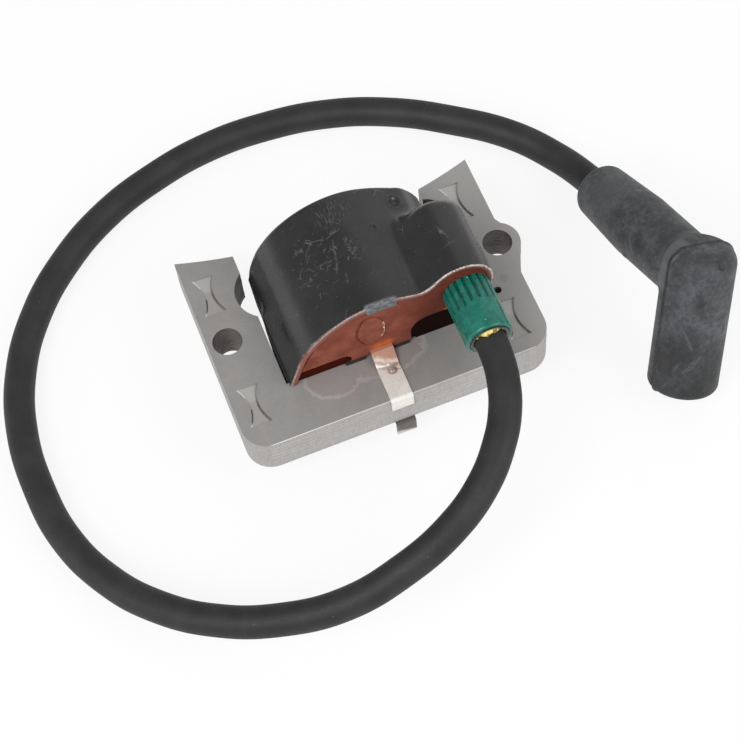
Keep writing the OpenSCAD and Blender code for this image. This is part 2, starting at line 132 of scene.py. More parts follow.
def make_lead():
    """The lead as a round curve along its route. Its points carry the radius, which a curve's box adds."""
    data = bpy.data.curves.new("lead", "CURVE")
    data.dimensions = "3D"
    data.resolution_u = 10
    data.bevel_depth = 1.0
    data.bevel_resolution = 10
    data.use_fill_caps = True
    spline = data.splines.new("BEZIER")
    spline.bezier_points.add(len(LEAD_ROUTE) - 1)
    for point, place in zip(spline.bezier_points, LEAD_ROUTE):
        point.co = Vector(place) * MM
        point.radius = LEAD_R * MM
        point.handle_left_type = point.handle_right_type = "AUTO"
    return link("lead", data, "coil", "lead_jacket")


# Meshes settled onto fields. A field is the signed distance in mm to a smooth surface.
def smooth_min(a, b, blend):
    near = np.maximum(blend - np.abs(a - b), 0) / blend
    return np.minimum(a, b) - near * near * blend / 4


def rounded(across, along, radius):
    """Distance to a corner of two faces that meet in an arc."""
    a, b = across + radius, along + radius
    return np.minimum(np.maximum(a, b), 0) + np.hypot(np.maximum(a, 0), np.maximum(b, 0)) - radius


def ease(value, low, high):
    """Smooth step from 0 at low to 1 at high."""
    t = np.clip((value - low) / (high - low), 0, 1)
    return t * t * (3 - 2 * t)


SETTLE_ROUNDS, SETTLE_REACH = 9, 0.5
LEAST_SLOPE = 0.25


def slope_of(field, points, step=0.02):
    """Gradient of a field at points."""
    here = field(points)
    return np.stack([(field(points + d) - here) / step for d in np.eye(3) * step], axis=1)


def settle(points, field):
    """Moves points along a field's slope onto its surface, by a limited reach each round."""
    for _ in range(SETTLE_ROUNDS):
        here = field(points)
        slope = slope_of(field, points)
        move = (here / np.maximum((slope ** 2).sum(axis=1), LEAST_SLOPE))[:, None] * slope
        far = np.linalg.norm(move, axis=1, keepdims=True)
        points = points - move * np.minimum(1, SETTLE_REACH / np.maximum(far, 1e-9))
    return points


def even_mesh(parts, voxel, lump=None):
    """Evenly meshed copy of one or more solids. parts gives each node and its shift in mm; overlaps fuse.
    lump gives the corners of a convex lump that is fused on as well."""
    joined = bmesh.new()
    for node, shift in parts:
        before = len(joined.verts)
        joined.from_mesh(nodes[node].data)
        joined.verts.ensure_lookup_table()
        bmesh.ops.translate(joined, verts=joined.verts[before:], vec=Vector(shift) * MM)
    if lump is not None:
        corners = [joined.verts.new(Vector(corner) * MM) for corner in lump]
        bmesh.ops.convex_hull(joined, input=corners)
    source = bpy.data.meshes.new("even_source")
    joined.to_mesh(source)
    joined.free()
    copy = bpy.data.objects.new("even_copy", source)
    scene.collection.objects.link(copy)
    remesh = copy.modifiers.new("voxels", "REMESH")
    remesh.mode = "VOXEL"
    remesh.voxel_size = voxel * MM
    graph = bpy.context.evaluated_depsgraph_get()
    mesh = bpy.data.meshes.new_from_object(copy.evaluated_get(graph))
    bpy.data.objects.remove(copy)
    bpy.data.meshes.remove(source)
    return mesh


def mesh_points(mesh):
    """Places of a mesh's points in mm."""
    points = np.empty(len(mesh.vertices) * 3)
    mesh.vertices.foreach_get("co", points)
    return points.reshape(-1, 3) / MM


def settle_mesh(mesh, field):
    """Moves a mesh's points onto a field and smooths its shading."""
    points = settle(mesh_points(mesh), field)
    mesh.vertices.foreach_set("co", (points * MM).ravel())
    mesh.polygons.foreach_set("use_smooth", np.ones(len(mesh.polygons), bool))
    mesh.update()


def mark(mesh, name, values):
    """Stores one value for each point, which a finish reads by name."""
    layer = mesh.attributes.new(name, "FLOAT", "POINT")
    layer.data.foreach_set("value", np.clip(values, 0, 1))


def strokes(points, lines):
    """How deep each point lies in any of the scratches. A line is (start, end, half width, strength)."""
    deepest = np.zeros(len(points))
    for start, end, width, strength in lines:
        start, run = np.array(start), np.array(end) - np.array(start)
        t = np.clip((points - start) @ run / (run @ run), 0, 1)
        away = np.linalg.norm(points - start - t[:, None] * run, axis=1)
        fade = strength * (0.45 + 0.55 * np.sin(math.pi * t))
        deepest = np.maximum(deepest, fade * np.exp(-(away / width) ** 2))
    return deepest


def distance(points, place):
    return np.linalg.norm(points - np.array(place), axis=1)


def dent(p, centre, radius, depth):
    """Moulded crater with a low lip."""
    away = distance(p, centre) / radius
    return depth * (np.exp(-away ** 4) - 0.4 * np.exp(-((away - 1.35) / 0.3) ** 2))


# The skirt's side: an arc above the core, a leaning line beside it and a round foot below
BOW_R, BOW_IN, BOW_Z = 42.9, 41.4, -1.0
SIDE_LOW, SIDE_RISE, SIDE_LEAN, SIDE_IN = -0.6, 10.9, 0.58, 0.6
FOOT_R = 8.0


def skirt_width(z):
    """Half width of the housing below its crown."""
    bowed = SKIRT_HALF - BOW_IN + np.sqrt(np.maximum(BOW_R ** 2 - (z - BOW_Z) ** 2, 0))
    rise = z - SIDE_LOW
    straight = SKIRT_HALF - SIDE_IN + SIDE_LEAN * rise / SIDE_RISE
    foot = SKIRT_HALF - SIDE_IN - FOOT_R + np.sqrt(np.maximum(FOOT_R ** 2 - np.minimum(rise, 0) ** 2, 0))
    return np.where(rise > SIDE_RISE, bowed, np.where(rise > 0, straight, foot))


# Blends and rounded edges of the housing, and its craters as (centre, radius, depth)
SKIRT_BLEND, LOBE_SIDE_BLEND, LOBE_BLEND = 1.6, 1.0, 5.0
BACK_ROUND, LOBE_ROUND = 0.9, 3.2
LOBE_LOW, LOBE_INSIDE = 10.3, 9
CRATERS = ((11.6, 8.9, 26.6), 1.15, 0.6), ((4.5, 2.5, 30.3), 0.65, 0.3)


def housing_form(p):
    """Outer form of the housing: a crown on a skirt, and a lobe beside it."""
    x, y, z = p.T
    across = x - CORE_AXIS_X
    angle = np.degrees(np.arctan2(z - CROWN_Z, across))
    shoulder = ease(angle, 6, 20) * ease(-angle, -54, -38) * ease(y, -1, 2.5) * ease(-y, -13.4, -12.6)
    swell = 0.45 * np.exp(-((np.abs(angle - 90) - 66) / 22) ** 2) - 0.25 * np.exp(-((angle - 64) / 14) ** 2)
    crown = np.hypot(across, z - CROWN_Z) - CROWN_R - swell - 0.95 * shoulder
    # A little wider in the core's window, and tucked in behind it
    in_window = 0.25 * ease(-z, -CORE_T - 0.4, -CORE_T + 0.4) * ease(-y, -1.5, 1.0)
    tuck = 0.5 * ease(-z, -15.0, -10.5) * ease(y, 1.5, 5.0)
    skirt = np.abs(across) - skirt_width(z) - in_window + tuck + 0.1 * np.maximum(z - 19, 0) ** 2
    skirt = np.maximum(skirt, HOUSING_LOW - z)
    dome = rounded(smooth_min(crown, skirt, SKIRT_BLEND), y - HOUSING_BACK, BACK_ROUND)
    for centre, radius, depth in CRATERS:
        dome = dome + dent(p, centre, radius, depth)
    round_lobe = np.hypot(x - LOBE_X, z - LOBE_Z) - LOBE_R
    side_wall = np.maximum(x - LOBE_X - LOBE_R + 0.2, LOBE_INSIDE - x)
    side_wall = np.maximum(side_wall, np.maximum(z - LOBE_Z, LOBE_LOW - z))
    lobe = rounded(smooth_min(round_lobe, side_wall, LOBE_SIDE_BLEND), y - LOBE_BACK, LOBE_ROUND)
    return smooth_min(dome, lobe, LOBE_BLEND)


# Scar of the moulding gate on the crown's front edge
SCAR_LEFT, SCAR_RIGHT, SCAR_FRONT, SCAR_BACK, SCAR_DEPTH = -4.3, 2.4, -16.4, -14.6, 2.2


def scar_form(p):
    """Form of the scar: a short arc of the crown that stands out at the front."""
    x, y, z = p.T
    away = np.hypot(x - CORE_AXIS_X, z - CROWN_Z)
    thick = np.maximum(away - CROWN_R + 0.05, CROWN_R - SCAR_DEPTH - away)
    wide = np.maximum(SCAR_LEFT - x, x - SCAR_RIGHT)
    return np.maximum(np.maximum(thick, wide), np.maximum(SCAR_FRONT - y, y - SCAR_BACK))


def scar_corners():
    """Corners of a block that roughly fills the scar."""
    for x in (SCAR_LEFT, SCAR_RIGHT):
        for r in (CROWN_R - 0.1, CROWN_R - SCAR_DEPTH):
            z = CROWN_Z + math.sqrt(r * r - (x - CORE_AXIS_X) ** 2)
            yield from ((x, SCAR_FRONT, z), (x, SCAR_BACK, z))


# Rooms that the housing leaves for the core's base bar and centre leg
BAR_ROOM_BACK, BAR_PLAY = -14.7, 0.1
LEG_ROOM_HALF, LEG_ROOM_FRONT, LEG_PLAY = 6.6, 5, 0.25


def housing_field(p, outward):
    """Shell of the housing. outward is 1 on the outer wall, -1 on the inner one and 0 at an edge."""
    x, y, z = p.T
    form = housing_form(p)
    inner = -(form + WALL)
    shell = np.select([outward > 0, outward < 0], [form, inner], np.maximum(form, inner))
    bar_room = np.maximum(y - BAR_ROOM_BACK, np.maximum(-BAR_PLAY - z, z - CORE_T - BAR_PLAY))
    leg_room = np.maximum(np.abs(x - CORE_AXIS_X) - LEG_ROOM_HALF, LEG_ROOM_FRONT - y)
    leg_room = np.maximum(leg_room, np.maximum(-LEG_PLAY - z, z - CORE_T - LEG_PLAY))
    cut = np.maximum(shell, HOUSING_FRONT - y)
    cut = np.maximum(np.maximum(cut, -bar_room), -leg_room)
    return np.minimum(cut, scar_form(p))


def on_crown(angle, y):
    """Place on the crown at an angle in degrees from its right."""
    a = math.radians(angle)
    return (CORE_AXIS_X + CROWN_R * math.cos(a), y, CROWN_Z + CROWN_R * math.sin(a))


# Long scratches on the crown's left: three places, each an angle and a Y, and the strength
CROWN_SCRATCHES = (
    (100, 2.6, 103, -2.4, 106, -5.2, 0.56), (117, -1.5, 111, -1.6, 106, -2.0, 0.48),
    (121, 1.5, 118, 3.3, 113, 4.5, 0.4), (101, -6.0, 101.5, -7.5, 102.5, -8.6, 0.4),
    (133, -3.0, 130, -3.2, 127, -4.0, 0.32), (96, 8.0, 94, 9.6, 89, 10.4, 0.32),
)
SCRATCH_HALF = 0.14


def housing_scratches():
    """Each long scratch as a bent line of two stretches."""
    lines = []
    for first, y0, middle, y1, last, y2, strength in CROWN_SCRATCHES:
        for a, start, b, end in ((first, y0, middle, y1), (middle, y1, last, y2)):
            lines.append((on_crown(a, start), on_crown(b, end), SCRATCH_HALF, strength))
    return lines


HOUSING_VOXEL = 0.3
EDGE_FACING = 0.3


def make_housing():
    """The housing's shell. Each point is told which wall it is on, so that none falls to the other one."""
    mesh = even_mesh([("coil_housing", (0, 0, 0))], HOUSING_VOXEL, list(scar_corners()))
    facing = np.empty(len(mesh.vertices) * 3)
    mesh.vertices.foreach_get("normal", facing)
    outward = (facing.reshape(-1, 3) * slope_of(housing_form, mesh_points(mesh))).sum(axis=1)
    outward = np.where(np.abs(outward) > EDGE_FACING, np.sign(outward), 0)
    settle_mesh(mesh, lambda p: housing_field(p, outward))
    points = mesh_points(mesh)
    depth = -housing_form(points)
    front = ease(-points[:, 1], 15.8, 15.95) * ease(points[:, 2], CORE_T - 0.3, CORE_T + 0.3)
    scar = ease(-scar_form(points), -0.25, -0.05) * ease(-points[:, 1], 14.9, 15.4)
    mark(mesh, "rim", front * (1 - ease(depth, 0.2, 0.6)))
    mark(mesh, "face", front)
    mark(mesh, "scar", scar)
    mark(mesh, "scratch", strokes(points, housing_scratches()))
    return link("housing_shell", mesh, "coil", "coil_housing")


def boot_local(p):
    """Places in the boot's own frame."""
    return (p - BOOT_AT) @ BOOT_TURN


SEAM_X = 0.45
NECK_END = 0.5
NECK_AT, NECK_RADII = (-NECK_L, -0.57 * NECK_L, NECK_END), (6.45, 7.5, 7.25)
NECK_ROUND, TOP_ROUND, MOUTH_ROUND = 1.5, 4.0, 1.4
PIP_AT, PIP_R = (-19.9, -4.0, 6.2), 0.55
BOOT_DENT = (7.15, 5.95, -0.6), 0.8, 0.4


def boot_form(q):
    """Outer form of the boot in its own frame: a neck let into the barrel, with a parting step and a pip."""
    x, y, z = q.T
    neck_r = np.interp(x, NECK_AT, NECK_RADII)
    neck = rounded(np.hypot(y, z) - neck_r, -x - NECK_L, NECK_ROUND)
    neck = np.maximum(neck, x - NECK_END)
    neck = smooth_min(neck, distance(q, PIP_AT) - PIP_R, 0.5)
    along = -y
    round_r = np.where(along < 8, TOP_ROUND, MOUTH_ROUND)
    ends = np.maximum(-along - BARREL_TOP, along - BARREL_L)
    off = x - SEAM_X
    seam = 0.3 * np.exp(-(off / 0.5) ** 4) - 0.25 * np.exp(-((off + 0.55) / 0.3) ** 2)
    barrel = rounded(np.hypot(x, z) - BARREL_R, ends, round_r) - seam
    barrel = barrel + dent(q, *BOOT_DENT)
    return smooth_min(neck, barrel, 1.0)


# Radius and ends of the boot's bores, along the neck for the lead and the stem, else along the barrel
LEAD_BORE_R, LEAD_BORE_END = 3.55, -11.7
STEM_BORE_R, STEM_BORE_START = 2.0, -12
PLUG_BORE_R, PLUG_BORE_TOP = 5.4, -3
CLIP_ROOM_R, CLIP_ROOM_LOW, CLIP_ROOM_TOP = 4.2, -4, 4.5


def boot_field(p):
    """The boot with its bores."""
    q = boot_local(p)
    x, y, z = q.T
    from_neck, from_barrel = np.hypot(y, z), np.hypot(x, z)
    lead_bore = np.maximum(from_neck - LEAD_BORE_R, x - LEAD_BORE_END)
    stem_bore = np.maximum(from_neck - STEM_BORE_R, np.maximum(x, STEM_BORE_START - x))
    plug_bore = np.maximum(from_barrel - PLUG_BORE_R, y - PLUG_BORE_TOP)
    clip_room = np.maximum(from_barrel - CLIP_ROOM_R, np.maximum(y - CLIP_ROOM_TOP, CLIP_ROOM_LOW - y))
    bores = np.minimum(np.minimum(lead_bore, stem_bore), np.minimum(plug_bore, clip_room))
    return np.maximum(boot_form(q), -bores)


def on_barrel(turn, along):
    """Place on the barrel in the boot's frame, at an angle in degrees from its X."""
    a = math.radians(turn)
    return (BARREL_R * math.cos(a), -along, BARREL_R * math.sin(a))


# Curved scuffs on the barrel: first and last angle, and first and last place along it
BARREL_SCUFFS = (50, 30, 8.6, 13.5), (46, 27, 9.5, 13.8), (30, 12, 19, 15.2), (38, 22, 19.6, 16.4)
SCUFF_STEPS = 4
SHORT_SCUFFS = 26


def boot_scuffs():
    """Curved scuffs low on the barrel and a scatter of short ones."""
    draw = random.Random(5)
    lines = []
    for first, last, low, high in BARREL_SCUFFS:
        for k in range(SCUFF_STEPS):
            a, b = k / SCUFF_STEPS, (k + 1) / SCUFF_STEPS
            start = on_barrel(first + (last - first) * a, low + (high - low) * a ** 1.4)
            end = on_barrel(first + (last - first) * b, low + (high - low) * b ** 1.4)
            lines.append((start, end, 0.2, 0.8))
    for _ in range(SHORT_SCUFFS):
        turn, along = draw.uniform(-180, 180), draw.uniform(-4, 25)
        end = on_barrel(turn + draw.uniform(-14, 14), along + draw.uniform(-2.5, 2.5))
        lines.append((on_barrel(turn, along), end, draw.uniform(0.15, 0.3), draw.uniform(0.2, 0.6)))
    return lines


NECK_OVERLAP = 0.6
BOOT_VOXEL = 0.28
DARK_SPOTS = (
    ((7.2, 6.0, -0.6), 1.0), ((7.05, -2.8, 3.3), 1.1), ((6.9, -18.2, 3.6), 1.7), ((-14.0, 2.0, 7.1), 1.6),
)
THUMBED_AT, THUMBED_R = (-33.5, 5.2, 4.7), 6


def make_boot():
    """Barrel and neck as one moulding. The neck's copy is pushed into the barrel so that the two fuse."""
    into_barrel = tuple(NECK_OVERLAP * BOOT_TURN[:, 0])
    parts = [("plug_boot", (0, 0, 0)), ("boot_neck", into_barrel)]
    mesh = even_mesh(parts, BOOT_VOXEL)
    settle_mesh(mesh, boot_field)
    q = boot_local(mesh_points(mesh))
    x, y, z = q.T
    on_wall = ease(np.hypot(x, z), 6.2, 7.2) * ease(x, -2.5, -1.5) + ease(y, 6.5, 7.5)
    # The parting line's mark, which the finish paints dark as the shadow beside its ridge
    mark(mesh, "seam", np.exp(-((x - SEAM_X + 0.4) / 0.6) ** 4) * on_wall)
    mark(mesh, "scuff", strokes(q, boot_scuffs()))
    dark = np.zeros(len(q))
    for centre, radius in DARK_SPOTS:
        dark = np.maximum(dark, np.exp(-(distance(q, centre) / radius) ** 2))
    # Painted shade on the lower part of the barrel, toward its mouth
    dark = np.maximum(dark, 0.75 * ease(-y, 9, 17) * ease(np.hypot(x, z), 6.2, 7.2))
    mark(mesh, "dark", dark)
    collar = ease(x, -4.2, -3.2) * ease(-x, 0.5 - SEAM_X, 1.0 - SEAM_X) * ease(y, -3, -1) * ease(z, 2, 4)
    thumbed = np.exp(-(distance(q, THUMBED_AT) / THUMBED_R) ** 2)
    mark(mesh, "bloom", np.maximum(collar, 0.7 * thumbed))
    return link("rubber_boot", mesh, "boot", "plug_boot", "boot_neck")


SHEET_SHIFT = 0.03
SHEET_EASE = 0.06


def make_sheets():
    """The stack as separate sheets with eased edges, each a hair out of line."""
    draw = random.Random(7)
    sheet = bmesh.new()
    sheet.from_mesh(nodes["core_bottom_sheet"].data)
    bmesh.ops.remove_doubles(sheet, verts=sheet.verts, dist=1e-6)
    bmesh.ops.dissolve_limit(sheet, angle_limit=math.radians(1), verts=sheet.verts, edges=sheet.edges)
    one = bpy.data.meshes.new("one_sheet")
    sheet.to_mesh(one)
    sheet.free()
    stack = bmesh.new()
    count = round(CORE_T / SHEET_T) - 2
    for k in range(count):
        x, y = draw.uniform(-SHEET_SHIFT, SHEET_SHIFT), draw.uniform(-SHEET_SHIFT, SHEET_SHIFT)
        shift = Vector((x, y, (k + 1) * SHEET_T)) * MM
        before = len(stack.verts)
        stack.from_mesh(one)
        stack.verts.ensure_lookup_table()
        for vert in stack.verts[before:]:
            vert.co += shift
    mesh = bpy.data.meshes.new("core_sheets")
    stack.to_mesh(mesh)
    stack.free()
    bpy.data.meshes.remove(one)
    piece = link("core_sheets", mesh, "coil", "core_stack")
    bevel = piece.modifiers.new("eased_edges", "BEVEL")
    bevel.width = SHEET_EASE * MM
    bevel.limit_method = "ANGLE"
    bevel.angle_limit = math.radians(50)
    return piece


def lathe(name, profile, steps, replaced):
    """Closed ring turned about the sleeve's axis. profile(turn) gives (radius, y) points in mm."""
    points, faces = [], []
    for k in range(steps):
        turn = 2 * math.pi * k / steps
        ring = profile(turn)
        count = len(ring)
        for r, y in ring:
            x, z = SLEEVE_X + r * math.cos(turn), SLEEVE_Z + r * math.sin(turn)
            points.append((x * MM, y * MM, z * MM))
    for k in range(steps):
        for i in range(count):
            a, b = k * count + i, k * count + (i + 1) % count
            c, d = ((k + 1) % steps) * count + (i + 1) % count, ((k + 1) % steps) * count + i
            faces.append((a, b, c, d))
    mesh = bpy.data.meshes.new(name)
    mesh.from_pydata(points, [], faces)
    mesh.polygons.foreach_set("use_smooth", np.ones(len(mesh.polygons), bool))
    mesh.update()
    return link(name, mesh, "coil", replaced)


FLUTES, FLUTE_END, FLUTE_DEPTH = 18, -21.6, 0.45
SLEEVE_STEPS = 30
LIP_R = 0.6
SEAT_R, SEAT_DEPTH = 4.4, 1.0
PIN_R, SLEEVE_END = 0.6, 0.8
SNUG_R = LEAD_R + 0.02


def sleeve_profile(turn):
    """Section of the sleeve: fluted in its rear half, with a rounded lip at its mouth."""
    wave = max(0.0, math.cos(FLUTES * turn)) ** 0.6
    outer = []
    for i in range(SLEEVE_STEPS + 1):
        y = SLEEVE_BACK + (SLEEVE_MOUTH + LIP_R - SLEEVE_BACK) * i / SLEEVE_STEPS
        fade = float(ease(y, FLUTE_END - 0.4 + 0.5 * math.sin(5 * turn), FLUTE_END + 0.7))
        outer.append((SLEEVE_R - FLUTE_DEPTH * wave * fade, y))
    lip = [
        (SLEEVE_R - LIP_R + LIP_R * math.cos(a), SLEEVE_MOUTH + LIP_R - LIP_R * math.sin(a))
        for a in (math.pi / 8 * i for i in range(1, 5))
    ]
    seat_end, bore_end = SLEEVE_MOUTH + SEAT_DEPTH, SLEEVE_BACK - SLEEVE_END
    seat = [(SEAT_R, SLEEVE_MOUTH + 0.1), (SEAT_R, seat_end)]
    bore = [(SNUG_R, seat_end), (SNUG_R, bore_end)]
    pin_hole = [(PIN_R, bore_end), (PIN_R, SLEEVE_BACK)]
    return outer + lip + seat + bore + pin_hole


def glue_profile(turn):
    """Section of the glue in the sleeve's mouth: a lumpy ring that stands up at its top left."""
    lump = 0.5 + 0.5 * math.cos(turn - 1.65)
    lump = lump ** 12 * (0.8 + 0.2 * math.sin(11 * turn))
    return [
        (SEAT_R, SLEEVE_MOUTH + SEAT_DEPTH), (SEAT_R + 0.02, SLEEVE_MOUTH - 0.3 * lump),
        (SEAT_R - 0.2, SLEEVE_MOUTH - 0.15 - 0.8 * lump), (SEAT_R - 0.55, SLEEVE_MOUTH - 0.2 - 1.15 * lump),
        (SNUG_R, SLEEVE_MOUTH - 0.1 - 1.1 * lump), (SNUG_R - 0.01, SLEEVE_MOUTH + SEAT_DEPTH),
    ]


# Procedural materials
class Finish:
    """A material's node tree, with short calls for the nodes that it uses. Places are in mm."""

    def __init__(self, name, **values):
        self.material = bpy.data.materials.new(name)
        self.material.use_nodes = True
        self.tree = self.material.node_tree
        self.shader = self.tree.nodes["Principled BSDF"]
        in_metres = self.add("ShaderNodeTexCoord", {}, "Object")
        self.place = self.add("ShaderNodeVectorMath", {0: in_metres, "Scale": 1 / MM}, operation="SCALE")
        for socket, value in values.items():
            self.shader.inputs[socket.replace("_", " ")].default_value = value

    def add(self, kind, inputs, output=0, **settings):
        """New node with its inputs, each a socket or a value. Gives one of its outputs."""
        made = self.tree.nodes.new(kind)
        for key, value in settings.items():
            setattr(made, key, value)
        for key, value in inputs.items():
            if isinstance(value, bpy.types.NodeSocket):
                self.tree.links.new(value, made.inputs[key])
            else:
                made.inputs[key].default_value = value
        return made.outputs[output]

    def stretch(self, x, y, z):
        return self.add("ShaderNodeVectorMath", {0: self.place, 1: (x, y, z)}, operation="MULTIPLY")

    def noise(self, scale, detail=3.0, rough=0.55, at=None, warp=0.0):
        inputs = {"Vector": at or self.place, "Scale": scale, "Detail": detail, "Roughness": rough}
        return self.add("ShaderNodeTexNoise", {**inputs, "Distortion": warp}, "Fac")

    def cells(self, scale, at=None, feature="F1"):
        inputs = {"Vector": at or self.place, "Scale": scale}
        return self.add("ShaderNodeTexVoronoi", inputs, "Distance", feature=feature)

    def step(self, value, low, high, to_low=0.0, to_high=1.0):
        """Smooth step from to_low to to_high while a value runs from low to high."""
        return self.add("ShaderNodeMapRange", {
            "Value": value, "From Min": low, "From Max": high, "To Min": to_low, "To Max": to_high,
        }, "Result", interpolation_type="SMOOTHSTEP")

    def math(self, operation, a, b=0.0):
        return self.add("ShaderNodeMath", {0: a, 1: b}, operation=operation)

    def times(self, *values):
        total = values[0]
        for value in values[1:]:
            total = self.math("MULTIPLY", total, value)
        return total

    def most(self, a, b):
        return self.math("MAXIMUM", a, b)

    def axes(self, vector=None):
        made = self.tree.nodes.new("ShaderNodeSeparateXYZ")
        self.tree.links.new(vector or self.place, made.inputs[0])
        return made.outputs

    def facing(self):
        """Parts of the surface's normal along X, Y and Z."""
        return self.axes(self.add("ShaderNodeTexCoord", {}, "Normal"))

    def band(self, value, low, high, soft):
        """1 between low and high, fading over soft on both sides."""
        return self.times(self.step(value, low - soft, low), self.step(value, high, high + soft, 1, 0))

    def spot(self, centre, radius, soft):
        """1 within a ball about a place."""
        return self.step(self.apart(self.place, centre), radius - soft, radius + soft, 1, 0)

    def apart(self, a, b):
        return self.add("ShaderNodeVectorMath", {0: a, 1: b}, "Value", operation="DISTANCE")

    def mix(self, factor, a, b):
        """Blend of two tones, each a socket or its red, green and blue."""
        a, b = ((*tone, 1) if isinstance(tone, tuple) else tone for tone in (a, b))
        return self.add("ShaderNodeMix", {0: factor, 6: a, 7: b}, 2, data_type="RGBA")

    def layer(self, name):
        """Value that the mesh stores under a name."""
        return self.add("ShaderNodeAttribute", {}, "Fac", attribute_name=name)

    def away_from(self, x, y, squeeze=1.0):
        """Level distance from an upright line, with distances along X squeezed."""
        return self.apart(self.stretch(squeeze, 1, 0), (x * squeeze, y, 0))

    def post(self, x, y, radius, soft):
        """1 within an upright round post."""
        return self.step(self.away_from(x, y), radius, radius + soft, 1, 0)

    def bump(self, height, depth, strength):
        """Adds relief of a depth in mm over what is there."""
        inputs = {"Height": height, "Distance": depth * MM, "Strength": strength}
        before = self.shader.inputs["Normal"].links
        if before:
            inputs["Normal"] = before[0].from_socket
        self.put("Normal", self.add("ShaderNodeBump", inputs))

    def put(self, socket, value):
        self.tree.links.new(value, self.shader.inputs[socket])

    def paint(self, colour, rough):
        self.put("Base Color", colour)
        self.put("Roughness", rough)


def grey(level):
    return (level, level, level)


# Features of the core's sheets, as places in X and Y
BOWTIES = (-31.7, 12.5), (-31.6, -16.9), (27.4, 13.4), (27.3, -19.0)
BOWTIE_REACH, BOWTIE_WAIST, BOWTIE_FLARE = 4.85, 0.87, 1.45
BORES = (-31.75, 0, 3.3), (31.75, 0, 3.3), (27.1, -11.2, 0.85)
NOTCHES, NOTCH_R = ((-19.3, 9.2), (18.7, 10.2)), 7.35
LEFT_POOL, LEFT_POOL_R = (-13.6, -16.0), 6.2
RIGHT_POOL, RIGHT_POOL_R, RIGHT_POOL_SQUEEZE = (-1.5, -16.7), 4.4, 0.5
STAIN_AT, STAIN_R = (29.5, -8.9), 0.7
DARK_LINE_X, DARK_LINE_FRONT, DARK_LINE_BACK = 27.2, -4.3, 12.0


def bowtie_marks(f, x, y, colour):
    """Interlock marks: silvery floors painted lighter as lit facets, painted shade on the right edge and low
    on the left edge, and painted highlights near the left edge's ends.
    """
    for at_x, at_y in BOWTIES:
        right = f.math("SUBTRACT", x, at_x)
        ahead = f.math("SUBTRACT", y, at_y)
        reach = f.math("DIVIDE", ahead, BOWTIE_REACH)
        half = f.math("ADD", f.times(reach, reach, BOWTIE_FLARE), BOWTIE_WAIST)
        long = f.step(f.math("ABSOLUTE", ahead), 4.6, 4.9, 1, 0)
        inside = f.times(f.step(f.math("SUBTRACT", half, f.math("ABSOLUTE", right)), -0.1, 0.1), long)
        upper = f.step(ahead, 0.4, 1.6)
        # Floors painted lighter, the upper one most, as facets that face the light
        floor = f.mix(upper, (0.36, 0.335, 0.32), (0.44, 0.435, 0.42))
        colour = f.mix(f.times(inside, 0.75), colour, floor)
        # Painted shade along the right edge and low on the left edge
        to_right = f.math("ABSOLUTE", f.math("SUBTRACT", right, half))
        to_left = f.math("ABSOLUTE", f.math("ADD", right, half))
        right_edge_shade = f.times(f.step(to_right, 0.1, 0.32, 1, 0), long, f.step(ahead, -0.5, 2.0, 1.0, 0.35))
        left_edge = f.times(f.step(to_left, 0.08, 0.25, 1, 0), long)
        left_edge_shade = f.times(left_edge, f.band(ahead, -3.6, -1.0, 0.6))
        colour = f.mix(f.times(f.most(right_edge_shade, left_edge_shade), 0.85), colour, (0.025, 0.023, 0.022))
        # Painted highlights near the ends of the left edge
        bright = f.times(left_edge, f.most(f.band(ahead, 2.6, 4.8, 0.5), f.band(ahead, -5.0, -4.4, 0.2)))
        colour = f.mix(bright, colour, grey(0.6))
    return colour


